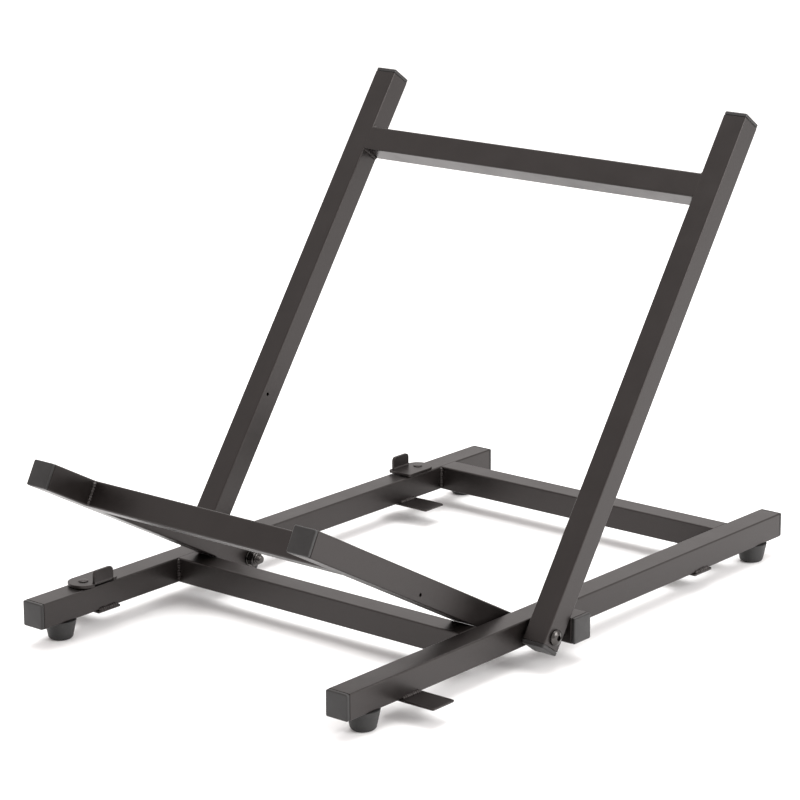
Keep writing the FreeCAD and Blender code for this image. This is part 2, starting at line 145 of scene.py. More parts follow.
LATCH_HALF_WIDTH = 15.0 * MM
LATCH_REACH = 31.5 * MM
LATCH_THICKNESS = 3.0 * MM
LATCH_CORNER = 3.0 * MM
LATCH_TAB_START = 0.5 * MM
LATCH_TAB_LENGTH = 25.0 * MM
LATCH_TAB_HEIGHT = 15.5 * MM
LATCH_TAB_CORNER = 4.5 * MM
LATCH_BEND = 1.5 * MM
LATCH_EDGE = 0.45 * MM
LATCH_EDGE_SEGMENTS = 3
LATCH_EDGE_ANGLE = math.radians(50)
RIVET_R = 2.5 * MM
RIVET_PLAY = 0.05 * MM
RIVET_HEAD_R = 4.8 * MM
RIVET_HEAD_HEIGHT = 1.3 * MM
RIVET_HEAD_RIM = 0.4 * MM
RIVET_TAIL_R = 4.0 * MM
RIVET_TAIL_HEIGHT = 1.2 * MM
RIVET_TAIL_EDGE = 0.4 * MM

DRAIN_HOLE_R = 1.8 * MM
UPRIGHT_DRAIN = 165.0 * MM
LIP_ARM_DRAIN = 138.0 * MM
DRAIN_OFFSET = 5.0 * MM

WELD_R = 2.3 * MM
WELD_RIPPLE = 0.7 * MM
WELD_WANDER = 0.22 * MM
WELD_PITCH = 2.6 * MM
WELD_STEPS_PER_RIPPLE = 8
WELD_LEAST_STEPS = 8
WELD_ROUND_STEPS = 20
WELD_TIP = 0.02                         # squared share of the radius left at a bead's ends
WELD_PHASE = 0.37                       # shift of the ripple from one bead to the next
WELD_WAVES = (0.9, 2.3)                 # two slow waves per pitch, in radians
WELD_CORNER_SHARE = 0.6                 # of the tube's corner radius, left free of weld
WELD_FILL = 1.3 * MM
PLATE_WELD_INSET = 2.5 * MM
PLATE_WELD_LIFT = 0.4 * MM
ROUND_STEPS = 64
SMOOTH_ANGLE = math.radians(40)
WEIGHT_BY_AREA = 100                    # weighted normals: large flats win

# ---------------------------------------------------------------- what the frame gives
BODY_OF = {n: body for body, nodes in record["behaviour"]["bodies"].items() for n in nodes}
SLOT_OF = {part["node"]: part["material_slot"] for part in record["subparts"]}
MOUNTS = {mount["name"]: mount for mount in record["mounts"]}
JOINTS = {joint["name"]: joint for joint in frame["joints"]}
X = Vector((1, 0, 0))
Y = Vector((0, 1, 0))
Z = Vector((0, 0, 1))
BACK_NORMAL = Vector(MOUNTS["amplifier_back_face"]["axis"]).normalized()
LIP_NORMAL = Vector(MOUNTS["left_lip_face"]["axis"]).normalized()
UPRIGHT_ALONG = BACK_NORMAL.cross(X)
LIP_ALONG = X.cross(LIP_NORMAL)
PIVOT = Vector(JOINTS["backrest_fold"]["pos_m"])
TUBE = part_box("left_upright")[1].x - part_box("left_upright")[0].x
WELD_RUN = TUBE / 2 - TUBE_CORNER * WELD_CORNER_SHARE
SIDES = {"left": -1, "right": 1}


# ---------------------------------------------------------------- materials
COAT_DARK = (0.0046, 0.0036, 0.0033)
COAT_LIGHT = (0.0074, 0.0060, 0.0056)
COAT_WORN = (0.036, 0.031, 0.029)
COAT_TINT = (1.0, 0.92, 0.90, 1.0)
PLASTIC_DARK = (0.0075, 0.0070, 0.0070)
PLASTIC_LIGHT = (0.0125, 0.0117, 0.0115)
PLASTIC_WORN = (0.040, 0.038, 0.037)
RUBBER_DARK = (0.0080, 0.0078, 0.0078)
RUBBER_LIGHT = (0.0190, 0.0184, 0.0180)
NYLON_DARK = (0.0060, 0.0058, 0.0058)
NYLON_LIGHT = (0.0110, 0.0106, 0.0104)
BLACKENED_DARK = (0.050, 0.047, 0.045)
BLACKENED_LIGHT = (0.085, 0.080, 0.077)
BLACKENED_WORN = (0.22, 0.21, 0.20)
ZINC_DARK = (0.50, 0.50, 0.49)
ZINC_LIGHT = (0.64, 0.64, 0.62)
ZINC_WORN = (0.75, 0.75, 0.74)
FLOOR_DARK = (0.93, 0.93, 0.93)
FLOOR_LIGHT = (0.95, 0.95, 0.95)
BEVEL_SAMPLES = 4


class Nodes:
    """A material's node tree, with short ways to add what these materials share."""

    def __init__(self, name):
        self.material = bpy.data.materials.new(name)
        self.material.use_nodes = True
        self.tree = self.material.node_tree
        self.shader = self.tree.nodes["Principled BSDF"]
        coordinates = self.add("ShaderNodeTexCoord")
        self.place = coordinates.outputs["Object"]

    def add(self, kind, **settings):
        node = self.tree.nodes.new(kind)
        for key, value in settings.items():
            setattr(node, key, value)
        return node

    def link(self, output, socket):
        self.tree.links.new(output, socket)

    def noise(self, scale, detail=3.0, roughness=0.5, stretch=None):
        node = self.add("ShaderNodeTexNoise")
        node.inputs["Scale"].default_value = scale
        node.inputs["Detail"].default_value = detail
        node.inputs["Roughness"].default_value = roughness
        place = self.place
        if stretch:
            mapping = self.add("ShaderNodeMapping")
            mapping.inputs["Scale"].default_value = stretch
            self.link(place, mapping.inputs["Vector"])
            place = mapping.outputs["Vector"]
        self.link(place, node.inputs["Vector"])
        return node.outputs["Fac"]

    def shades(self, value, dark, light, start=0.3, end=0.7):
        """Colour that goes from dark to light as the value goes from start to end."""
        node = self.add("ShaderNodeValToRGB")
        for element, at, colour in zip(node.color_ramp.elements, (start, end), (dark, light)):
            element.position = at
            element.color = (*colour, 1.0)
        self.link(value, node.inputs["Fac"])
        return node.outputs["Color"]

    def spread(self, value, low, high, start=0.3, end=0.7):
        """Number that goes from low to high as the value goes from start to end."""
        node = self.add("ShaderNodeMapRange")
        node.inputs["From Min"].default_value = start
        node.inputs["From Max"].default_value = end
        node.inputs["To Min"].default_value = low
        node.inputs["To Max"].default_value = high
        self.link(value, node.inputs["Value"])
        return node.outputs["Result"]

    def math(self, operation, first, second):
        node = self.add("ShaderNodeMath", operation=operation)
        for socket, value in zip(node.inputs, (first, second)):
            if isinstance(value, float):
                socket.default_value = value
            else:
                self.link(value, socket)
        return node.outputs["Value"]

    def wear(self, colour, worn, share, worn_colour):
        """A colour that turns by a share into another where the surface is worn."""
        node = self.add("ShaderNodeMix", data_type="RGBA")
        self.link(self.math("MULTIPLY", worn, share), node.inputs["Factor"])
        self.link(colour, node.inputs["A"])
        node.inputs["B"].default_value = (*worn_colour, 1.0)
        return node.outputs["Result"]

    def edges(self, radius, start, end):
        """1 on sharp convex and concave edges, 0 on flats, broken up by noise."""
        bevel = self.add("ShaderNodeBevel", samples=BEVEL_SAMPLES)
        bevel.inputs["Radius"].default_value = radius
        geometry = self.add("ShaderNodeNewGeometry")
        dot = self.add("ShaderNodeVectorMath", operation="DOT_PRODUCT")
        self.link(bevel.outputs["Normal"], dot.inputs[0])
        self.link(geometry.outputs["Normal"], dot.inputs[1])
        bent = self.spread(dot.outputs["Value"], low=1.0, high=0.0, start=start, end=end)
        chips = self.noise(scale=420.0, detail=4.0, roughness=0.7)
        broken = self.spread(chips, low=0.15, high=1.0, start=0.42, end=0.62)
        return self.math("MULTIPLY", bent, broken)

    def bump(self, height, distance, strength=1.0, under=None):
        node = self.add("ShaderNodeBump")
        node.inputs["Strength"].default_value = strength
        node.inputs["Distance"].default_value = distance
        self.link(height, node.inputs["Height"])
        if under:
            self.link(under, node.inputs["Normal"])
        return node.outputs["Normal"]

    def finish(self, colour, roughness, normal, **constants):
        self.link(colour, self.shader.inputs["Base Color"])
        self.link(roughness, self.shader.inputs["Roughness"])
        self.link(normal, self.shader.inputs["Normal"])
        for socket, value in constants.items():
            self.shader.inputs[socket.replace("_", " ")].default_value = value
        return self.material


def powder_coat():
    """Semi-gloss black powder coat: orange peel, fine grain, faint clouding, thin spots on the edges."""
    n = Nodes("black_coat")
    clouds = n.noise(scale=28.0, detail=4.0, roughness=0.6)
    grain = n.noise(scale=2600.0, detail=2.0, roughness=0.6)
    worn = n.edges(radius=0.7 * MM, start=0.86, end=0.99)
    colour = n.wear(n.shades(clouds, COAT_DARK, COAT_LIGHT), worn, 0.5, COAT_WORN)
    rough = n.spread(clouds, low=0.30, high=0.37)
    rough = n.math("ADD", rough, n.spread(grain, low=-0.02, high=0.03))
    rough = n.math("ADD", rough, n.math("MULTIPLY", worn, 0.06))
    peel = n.bump(n.noise(scale=520.0, detail=2.0, roughness=0.45), distance=0.035 * MM)
    fine = n.bump(grain, distance=0.008 * MM, under=peel)
    return n.finish(colour, rough, fine, IOR=1.45, Specular_Tint=COAT_TINT)


def plug_plastic():
    """Moulded black plastic with a fine spark-eroded texture and faint flow marks."""
    n = Nodes("plug_plastic")
    flow = n.noise(scale=70.0, detail=3.0, roughness=0.55, stretch=(1.0, 2.4, 1.0))
    spark = n.noise(scale=3200.0, detail=3.0, roughness=0.7)
    scuffed = n.edges(radius=0.5 * MM, start=0.80, end=0.99)
    colour = n.wear(n.shades(flow, PLASTIC_DARK, PLASTIC_LIGHT), scuffed, 0.6, PLASTIC_WORN)
    rough = n.math("ADD", n.spread(flow, low=0.36, high=0.43), n.spread(spark, low=-0.03, high=0.04))
    return n.finish(colour, rough, n.bump(spark, distance=0.018 * MM), IOR=1.47)


def foot_rubber():
    """Moulded rubber, matt, with dust bloom in patches and fine pits."""
    n = Nodes("foot_rubber")
    bloom = n.noise(scale=95.0, detail=5.0, roughness=0.65)
    pits = n.noise(scale=1500.0, detail=3.0, roughness=0.6)
    colour = n.shades(bloom, RUBBER_DARK, RUBBER_LIGHT, start=0.35, end=0.75)
    rough = n.math("ADD", n.spread(bloom, low=0.50, high=0.62), n.spread(pits, low=-0.04, high=0.05))
    return n.finish(colour, rough, n.bump(pits, distance=0.04 * MM), IOR=1.5)


def plated_steel(name, dark, light, worn_colour, roughness):
    """Plated steel: fine turning marks, cloudy plating, bright where the edges rub."""
    n = Nodes(name)
    clouds = n.noise(scale=180.0, detail=4.0, roughness=0.6)
    marks = n.noise(scale=900.0, detail=2.0, roughness=0.5, stretch=(6.0, 1.0, 1.0))
    worn = n.edges(radius=0.35 * MM, start=0.82, end=0.99)
    colour = n.wear(n.shades(clouds, dark, light), worn, 0.55, worn_colour)
    rough = n.math("ADD", n.spread(clouds, low=roughness - 0.04, high=roughness + 0.05),
                   n.spread(marks, low=-0.03, high=0.04))
    return n.finish(colour, rough, n.bump(marks, distance=0.012 * MM), Metallic=1.0)


def spacer_nylon():
    """Black nylon: satin, with faint turning rings."""
    n = Nodes("spacer_nylon")
    clouds = n.noise(scale=120.0, detail=3.0, roughness=0.5)
    marks = n.noise(scale=1400.0, detail=2.0, roughness=0.5, stretch=(5.0, 1.0, 1.0))
    colour = n.shades(clouds, NYLON_DARK, NYLON_LIGHT)
    rough = n.math("ADD", n.spread(clouds, low=0.40, high=0.48), n.spread(marks, low=-0.03, high=0.03))
    return n.finish(colour, rough, n.bump(marks, distance=0.015 * MM), IOR=1.53)


def floor_paint():
    """Pale matt studio floor."""
    n = Nodes("studio_floor")
    colour = n.shades(n.noise(scale=3.0, detail=3.0, roughness=0.5), FLOOR_DARK, FLOOR_LIGHT)
    grain = n.noise(scale=240.0, detail=3.0, roughness=0.5)
    return n.finish(colour, n.spread(grain, low=0.82, high=0.9), n.bump(grain, distance=0.02 * MM))


MATERIALS = {
    "black_coat": powder_coat(),
    "plug_plastic": plug_plastic(),
    "foot_rubber": foot_rubber(),
    "black_fastener": plated_steel("black_fastener", BLACKENED_DARK, BLACKENED_LIGHT,
                                   BLACKENED_WORN, roughness=0.22),
    "zinc_steel": plated_steel("zinc_steel", ZINC_DARK, ZINC_LIGHT, ZINC_WORN, roughness=0.28),
    "spacer_nylon": spacer_nylon(),
}


# ---------------------------------------------------------------- mesh building
def side_of(axis):
    """A direction across an axis, to place a turned piece by."""
    return Z if abs(axis.dot(Z)) < 0.9 else X


def placed(origin, along, side):
    """Matrix of a local frame whose Z runs along a direction and whose X is near side."""
    z = along.normalized()
    y = z.cross(side).normalized()
    x = y.cross(z)
    rotation = Matrix((x, y, z)).transposed().to_4x4()
    return Matrix.Translation(origin) @ rotation


def rounded_rectangle(width, depth, corner):
    """Points of a rounded rectangle in the XY plane, anticlockwise."""
    points = []
    for index, (sx, sy) in enumerate(((1, 1), (-1, 1), (-1, -1), (1, -1))):
        centre = Vector((sx * (width / 2 - corner), sy * (depth / 2 - corner)))
        for step in range(CORNER_STEPS + 1):
            angle = math.pi / 2 * (index + step / CORNER_STEPS)
            points.append(centre + corner * Vector((math.cos(angle), math.sin(angle))))
    return points


def square_ring(size, corner, z):
    return [Vector((p.x, p.y, z)) for p in rounded_rectangle(size, size, corner)]


def rounded_edge(radius, steps):
    """(inset, drop) pairs along a rounded edge, from its side up to its top."""
    angles = [math.pi / 2 * step / steps for step in range(steps + 1)]
    return [(radius * (1 - math.cos(a)), radius * (1 - math.sin(a))) for a in angles]


def polar_ring(radius, z, steps=ROUND_STEPS):
    """Ring about Z; radius is a number or a function of the angle."""
    ring = []
    for step in range(steps):
        angle = 2 * math.pi * step / steps
        r = radius(angle) if callable(radius) else radius
        ring.append(Vector((r * math.cos(angle), r * math.sin(angle), z)))
    return ring


def hexagon_radius(flats, limit=math.inf):
    """Radius of a hexagon by angle, cut off at a circle."""
    def radius(angle):
        from_flat = (angle + math.pi / 6) % (math.pi / 3) - math.pi / 6
        return min(flats / 2 / math.cos(from_flat), limit)
    return radius


def loft(rings, looped=False):
    """Closed mesh through rings of equal length: capped at both ends, or joined last to first."""
    mesh = bmesh.new()
    rows = [[mesh.verts.new(point) for point in ring] for ring in rings]
    pairs = list(zip(rows, rows[1:] + rows[:1])) if looped else list(zip(rows, rows[1:]))
    count = len(rows[0])
    for low, high in pairs:
        for i in range(count):
            j = (i + 1) % count
            mesh.faces.new((low[i], low[j], high[j], high[i]))
    if not looped:
        mesh.faces.new(list(reversed(rows[0])))
        mesh.faces.new(rows[-1])
    bmesh.ops.recalc_face_normals(mesh, faces=mesh.faces)
    return mesh


def lathe(profile, looped=False):
    """Turned mesh about Z from (radius, z) points."""
    return loft([polar_ring(radius, z) for radius, z in profile], looped)


def to_object(name, mesh, matrix):
    mesh.transform(matrix)
    data = bpy.data.meshes.new(name)
    mesh.to_mesh(data)
    mesh.free()
    piece = bpy.data.objects.new(name, data)
    bpy.context.scene.collection.objects.link(piece)
    return piece


def applied(piece):
    """Puts a piece's modifiers into its mesh."""
    graph = bpy.context.evaluated_depsgraph_get()
    data = bpy.data.meshes.new_from_object(piece.evaluated_get(graph))
    piece.modifiers.clear()
    piece.data = data


def drilled(piece, point, axis, radius, depth):
    """Cuts a round hole of that depth through a piece, centred on the point."""
    bit = lathe([(radius, -depth / 2), (radius, depth / 2)])
    cutter = to_object("drill", bit, placed(point, axis, side_of(axis)))
    cut = piece.modifiers.new("drill", "BOOLEAN")
    cut.object = cutter
    cut.solver = "EXACT"
    applied(piece)
    bpy.data.objects.remove(cutter)


def smooth(piece):
    """Smooth shading with sharp edges kept and flats kept flat."""
    piece.data.shade_smooth()
    piece.data.set_sharp_from_angle(angle=SMOOTH_ANGLE)
    weigh = piece.modifiers.new("weighted_normals", "WEIGHTED_NORMAL")
    weigh.keep_sharp = True
    weigh.weight = WEIGHT_BY_AREA
    applied(piece)


def dress(piece, slot, body):
    """Gives a piece its finish and the body that it rides on."""
    piece.data.materials.clear()
    piece.data.materials.append(MATERIALS[slot])
    smooth(piece)
    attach(piece, body)


def stand_for(piece, node):
    """A detailed piece takes its node's body, finish and place."""
    dress(piece, SLOT_OF[node], BODY_OF[node])
    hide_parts(node)


# ---------------------------------------------------------------- tubes and their plugs
def tube_line(node, along):
    """Middle and length of a square tube, from its node's box."""
    low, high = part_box(node)
    size = high - low
    main = max(range(3), key=lambda i: abs(along[i]))
    slope = math.sqrt(max(0.0, 1 - along[main] ** 2))
    return (low + high) / 2, (size[main] - TUBE * slope) / abs(along[main])


def square_tube(node, along, side, holes=(), fill=0.0):
    """Hollow tube with rounded corners and eased ends; holes are (place, axis, radius), and fill is
    how far the dressed flush weld carries its ends into the corner rounding of its neighbours."""
    centre, length = tube_line(node, along)
    half = length / 2 + fill
    edge = TUBE_END_EDGE
    inner = TUBE - 2 * WALL
    inner_corner = TUBE_CORNER - WALL
    rings = [
        square_ring(TUBE, TUBE_CORNER, edge - half),
        square_ring(TUBE, TUBE_CORNER, half - edge),
        square_ring(TUBE - 2 * edge, TUBE_CORNER - edge, half),
        square_ring(inner, inner_corner, half),
        square_ring(inner, inner_corner, -half),
        square_ring(TUBE - 2 * edge, TUBE_CORNER - edge, -half),
    ]
    piece = to_object(node + "_tube", loft(rings, True), placed(centre, along, side))
    for place, axis, radius in holes:
        drilled(piece, place, axis, radius, depth=3 * WALL)
    stand_for(piece, node)


def end_plug(node, seat, outwards, side, depth=PLUG_DEPTH):
    """Tube plug: crowned flange, a shadow seam against the tube, a shank with a hollow."""
    flange = TUBE - 2 * PLUG_INSET
    shank = TUBE - 2 * WALL - 2 * PLUG_SHANK_PLAY
    hollow = shank * PLUG_HOLLOW_SHARE
    seam = flange - 2 * PLUG_SEAM_DEPTH
    seam_corner = PLUG_CORNER - PLUG_SEAM_DEPTH
    flat = flange - 2 * PLUG_EDGE
    rings = [
        square_ring(hollow, PLUG_HOLLOW_CORNER, -PLUG_SEAM - PLUG_HOLLOW_FLOOR),
        square_ring(hollow, PLUG_HOLLOW_CORNER, -depth),
        square_ring(shank - PLUG_LEAD_IN_TAPER, PLUG_LEAD_IN_CORNER, -depth),
        square_ring(shank, PLUG_SHANK_CORNER, -depth + PLUG_LEAD_IN),
        square_ring(shank, PLUG_SHANK_CORNER, 0.0),
        square_ring(seam, seam_corner, 0.0),
        square_ring(seam, seam_corner, PLUG_SEAM),
        square_ring(flange - 2 * PLUG_SEAM_EDGE, PLUG_CORNER, PLUG_SEAM),
        square_ring(flange, PLUG_CORNER, PLUG_SEAM + PLUG_SEAM_EDGE),
    ]
    for inset, drop in rounded_edge(PLUG_EDGE, PLUG_EDGE_STEPS):
        height = PLUG_FLANGE - PLUG_CROWN - drop
        rings.append(square_ring(flange - 2 * inset, PLUG_CORNER - inset, height))
    for share in PLUG_CROWN_SHARES:
        height = PLUG_FLANGE - PLUG_CROWN * share ** 2
        rings.append(square_ring(flat * share, PLUG_CORNER * share * PLUG_CROWN_CORNER, height))
    piece = to_object(node + "_cap", loft(rings), placed(seat, outwards, side))
    stand_for(piece, node)


def rails():
    for name, side in SIDES.items():
        node = name + "_rail"
        centre, length = tube_line(node, Y)
        square_tube(node, Y, X)
        end_plug(node + "_front_plug", centre - Y * length / 2, -Y, X)
        end_plug(node + "_rear_plug", centre + Y * length / 2, Y, X)
        stub, reach = tube_line(name + "_stop_stub", X)
        square_tube(name + "_stop_stub", X, Y)
        end_plug(name + "_stop_stub_plug", stub + X * side * reach / 2, X * side, Y)


def swinging_tubes(stem, along, normal, plugs, drain, drain_offset, drain_side):
    """Both side tubes of a swinging frame; plugs are the names at the far end and at the tail."""
    for name, side in SIDES.items():
        node = f"{name}_{stem}"
        centre, length = tube_line(node, along)
        face = centre.x + drain_side * side * TUBE / 2
        hole = Vector((face, PIVOT.y, PIVOT.z)) + along * drain + normal * drain_offset
        square_tube(node, along, X, [(hole, X, DRAIN_HOLE_R)])
        end_plug(f"{node}_{plugs[0]}_plug", centre + along * length / 2, along, X)
        end_plug(f"{node}_{plugs[1]}_plug", centre - along * length / 2, -along, X, TAIL_PLUG_DEPTH)


# ---------------------------------------------------------------- plates, feet, latches
def rest_plates():
    for name in SIDES:
        for end in ("front", "rear"):
            node = f"{name}_{end}_rest_plate"
            low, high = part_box(node)
            size = high - low
            rings = []
            for inset, z in ((PLATE_EDGE, 0), (0, PLATE_EDGE), (0, size.z - PLATE_EDGE),
                             (PLATE_EDGE, size.z)):
                outline = rounded_rectangle(size.x - 2 * inset, size.y - 2 * inset, PLATE_CORNER - inset)
                rings.append([Vector((p.x, p.y, z)) for p in outline])
            middle = (low + high) / 2
            base = Matrix.Translation((middle.x, middle.y, low.z))
            stand_for(to_object(node + "_flat", loft(rings), base), node)


def feet():
    for name in SIDES:
        for end in ("front", "rear"):
            node = f"{name}_{end}_foot"
            low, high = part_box(node)
            height = high.z - low.z
            top = (high.x - low.x) / 2
            bottom = top - FOOT_TAPER
            bend_inset, bend_drop = FOOT_TOP_BEND
            profile = [(FOOT_BORE_R, height), (top - FOOT_TOP_EDGE, height),
                       (top - bend_inset, height - bend_drop), (top, height - FOOT_TOP_EDGE)]
            profile += [(bottom - inset, drop) for inset, drop in rounded_edge(FOOT_EDGE, FOOT_EDGE_STEPS)]
            profile += [(FOOT_RECESS_R + FOOT_RECESS_EDGE, 0.0), (FOOT_RECESS_R, FOOT_RECESS_EDGE),
                        (FOOT_RECESS_R, FOOT_RECESS_DEPTH), (FOOT_BORE_R, FOOT_RECESS_DEPTH)]
            middle = (low + high) / 2
            base = Matrix.Translation((middle.x, middle.y, low.z))
            stand_for(to_object(node + "_turned", lathe(profile, True), base), node)


def arc(cx, cy, radius, start, end, steps=CORNER_STEPS):
    """Points of an arc, in degrees."""
    turns = [math.radians(start + (end - start) * i / steps) for i in range(steps + 1)]
    return [(cx + radius * math.cos(a), cy + radius * math.sin(a)) for a in turns]


def latch_sheet():
    """Middle surface of the latch: flat plate, bend and tab; rivet on the Z axis, round end to -Y."""
    half, reach, corner = LATCH_HALF_WIDTH, LATCH_REACH, LATCH_CORNER
    bend = LATCH_BEND + LATCH_THICKNESS / 2
    root = half - LATCH_BEND - LATCH_THICKNESS
    start, end = LATCH_TAB_START, LATCH_TAB_START + LATCH_TAB_LENGTH
    level = LATCH_THICKNESS / 2
    mesh = bmesh.new()
    outline = arc(0, 0, half, 180, 360, 4 * CORNER_STEPS)
    outline += [(half, start), (root, start), (root, end), (half, end)]
    outline += arc(half - corner, reach - corner, corner, 0, 90)
    outline += arc(corner - half, reach - corner, corner, 90, 180)
    plate = [mesh.verts.new((x, y, level)) for x, y in outline]
    mesh.faces.new(plate)
    first = 4 * CORNER_STEPS + 2
    low, high = plate[first], plate[first + 1]
    for step in range(1, CORNER_STEPS + 1):
        angle = math.pi / 2 * step / CORNER_STEPS
        x = root + bend * math.sin(angle)
        z = level + bend * (1 - math.cos(angle))
        next_low = mesh.verts.new((x, start, z))
        next_high = mesh.verts.new((x, end, z))
        mesh.faces.new((low, next_low, next_high, high))
        low, high = next_low, next_high
    top = LATCH_TAB_HEIGHT
    rim = arc(end - LATCH_TAB_CORNER, top - LATCH_TAB_CORNER, LATCH_TAB_CORNER, 0, 90)
    rim += arc(start + LATCH_TAB_CORNER, top - LATCH_TAB_CORNER, LATCH_TAB_CORNER, 90, 180)
    tab = [mesh.verts.new((root + bend, y, z)) for y, z in rim]
    mesh.faces.new([low, high] + tab)
    bmesh.ops.recalc_face_normals(mesh, faces=mesh.faces)
    return mesh


def latches():
    for end, turn in (("front", 0.0), ("rear", math.pi)):
        node = end + "_latch"
        pivot = Vector(JOINTS[end + "_latch_swing"]["pos_m"])
        place = Matrix.Translation(pivot) @ Matrix.Rotation(turn, 4, "Z")
        piece = to_object(node + "_plate", latch_sheet(), place)
        thicken = piece.modifiers.new("thickness", "SOLIDIFY")
        thicken.thickness = LATCH_THICKNESS
        thicken.offset = 0.0
        thicken.use_even_offset = True
        applied(piece)
        drilled(piece, pivot, Z, RIVET_R + RIVET_PLAY, depth=4 * LATCH_THICKNESS)
        ease = piece.modifiers.new("edges", "BEVEL")
        ease.width = LATCH_EDGE
        ease.segments = LATCH_EDGE_SEGMENTS
        ease.limit_method = "ANGLE"
        ease.angle_limit = LATCH_EDGE_ANGLE
        applied(piece)
        stand_for(piece, node)
        rivet(end + "_latch_rivet")
        ring(end + "_latch_washer", Z)


def domed(radius, height, rim):
    """(radius, z) points of a low dome from its rim up to near the axis."""
    points = [(radius - DOME_FOOT, 0.0), (radius, DOME_FOOT), (radius, rim)]
    for step in range(1, DOME_STEPS + 1):
        angle = math.pi / 2 * step / DOME_STEPS
        points.append((radius * math.cos(angle * DOME_TOP), rim + (height - rim) * math.sin(angle)))
    return points


def rivet(node):
    """Domed head above, flat tail below."""
    low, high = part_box(node)
    middle = (low + high) / 2
    head = high.z - low.z - RIVET_HEAD_HEIGHT
    profile = [(RIVET_TAIL_R - RIVET_TAIL_EDGE, 0.0), (RIVET_TAIL_R, RIVET_TAIL_EDGE),
               (RIVET_TAIL_R, RIVET_TAIL_HEIGHT), (RIVET_R, RIVET_TAIL_HEIGHT), (RIVET_R, head)]
    profile += [(r, head + z) for r, z in domed(RIVET_HEAD_R, RIVET_HEAD_HEIGHT, RIVET_HEAD_RIM)]
    base = Matrix.Translation((middle.x, middle.y, low.z))
    stand_for(to_object(node + "_turned", lathe(profile), base), node)


def ring(node, axis):
    """Washer or spacer with eased edges, its size from the node's box; axis is X or Z."""
    low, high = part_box(node)
    main = 0 if axis.x else 2
    size = high - low
    height = size[main]
    outer = size.y / 2
    inner = (BOLT_R if axis.x else RIVET_R) + RING_PLAY
    edge = min(RING_EDGE, height / 4)
    profile = [(inner, 0.0), (outer - edge, 0.0), (outer, edge), (outer, height - edge),
               (outer - edge, height), (inner, height)]
    seat = (low + high) / 2
    seat[main] = low[main]
    place = placed(seat, axis, side_of(axis))
    stand_for(to_object(node + "_turned", lathe(profile, True), place), node)


# ---------------------------------------------------------------- pivot bolts and nuts
def thread_ring(z, reach):
    """Section of a threaded shank; the groove's place turns with the angle."""
    def radius(angle):
        phase = (z / THREAD_PITCH - angle / (2 * math.pi)) % 1.0
        return BOLT_R - reach * THREAD_DEPTH * abs(2 * phase - 1)
    return polar_ring(radius, z)


def pivot_bolt(node, side):
    """Button-head bolt: socket and dome outboard, thread inboard."""
    low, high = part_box(node)
    length = high.x - low.x
    head = length - BOLT_HEAD_HEIGHT
    rings = [polar_ring(BOLT_R - BOLT_POINT_INSET, 0.0),
             polar_ring(BOLT_R - THREAD_DEPTH, BOLT_POINT_LENGTH)]
    steps = int(THREAD_SHOWN / THREAD_PITCH) * THREAD_STEPS
    for step in range(1, steps + 1):
        z = BOLT_POINT_LENGTH + step * THREAD_PITCH / THREAD_STEPS
        rings.append(thread_ring(z, min(1.0, (steps - step) / THREAD_STEPS)))
    rings.append(polar_ring(BOLT_R, head))
    rings += [polar_ring(r, head + z) for r, z in domed(BOLT_HEAD_R, BOLT_HEAD_HEIGHT, BOLT_HEAD_RIM)
              if r > BOLT_SOCKET_FLATS / 2 + BOLT_SOCKET_LAND]
    mouth = hexagon_radius(BOLT_SOCKET_FLATS + BOLT_SOCKET_MOUTH)
    socket = hexagon_radius(BOLT_SOCKET_FLATS)
    rings += [polar_ring(mouth, length - BOLT_MOUTH_START),
              polar_ring(socket, length - BOLT_MOUTH_END),
              polar_ring(socket, length - BOLT_SOCKET_DEPTH),
              polar_ring(BOLT_SOCKET_FLATS / 4, length - BOLT_SOCKET_DEPTH - BOLT_SOCKET_CONE)]
    start = Vector((low.x if side > 0 else high.x, PIVOT.y, PIVOT.z))
    piece = to_object(node + "_turned", loft(rings), placed(start, X * side, Z))
    stand_for(piece, node)


def lock_nut(node, side):
    """Hexagon nut, chamfered at both ends, with its rolled locking collar inboard."""
    low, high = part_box(node)
    length = high.x - low.x
    bore = BOLT_R + NUT_BORE_PLAY
    hexagon_end = length - NUT_COLLAR_HEIGHT
    tip = NUT_FLATS / math.sqrt(3)
    flat = NUT_FLATS / 2
    chamfer = [(hexagon_radius(NUT_FLATS, flat + (tip - flat) * share), NUT_CHAMFER * share)
               for share in NUT_CHAMFER_SHARES]
    rings = [polar_ring(bore, 0.0), polar_ring(flat - NUT_SEAT_INSET, 0.0)]
    rings += [polar_ring(radius, depth) for radius, depth in chamfer]
    rings += [polar_ring(radius, hexagon_end - depth) for radius, depth in reversed(chamfer)]
    rings += [polar_ring(flat - NUT_BACK_INSET, hexagon_end), polar_ring(NUT_COLLAR_R, hexagon_end)]
    rings += [polar_ring(NUT_COLLAR_R - inset, length - drop)
              for inset, drop in rounded_edge(NUT_COLLAR_EDGE, NUT_COLLAR_STEPS)]
    rings += [polar_ring(bore + NUT_BORE_EDGE, length), polar_ring(bore, length - NUT_BORE_EDGE)]
    seat = Vector((high.x if side > 0 else low.x, PIVOT.y, PIVOT.z))
    piece = to_object(node + "_turned", loft(rings, True), placed(seat, -X * side, Z))
    stand_for(piece, node)


def pivots():
    for name, side in SIDES.items():
        pivot_bolt(name + "_pivot_bolt", side)
        lock_nut(name + "_pivot_nut", side)
        for stem in ("pivot_nut_washer", "outer_spacer", "inner_spacer"):
            ring(f"{name}_{stem}", X)


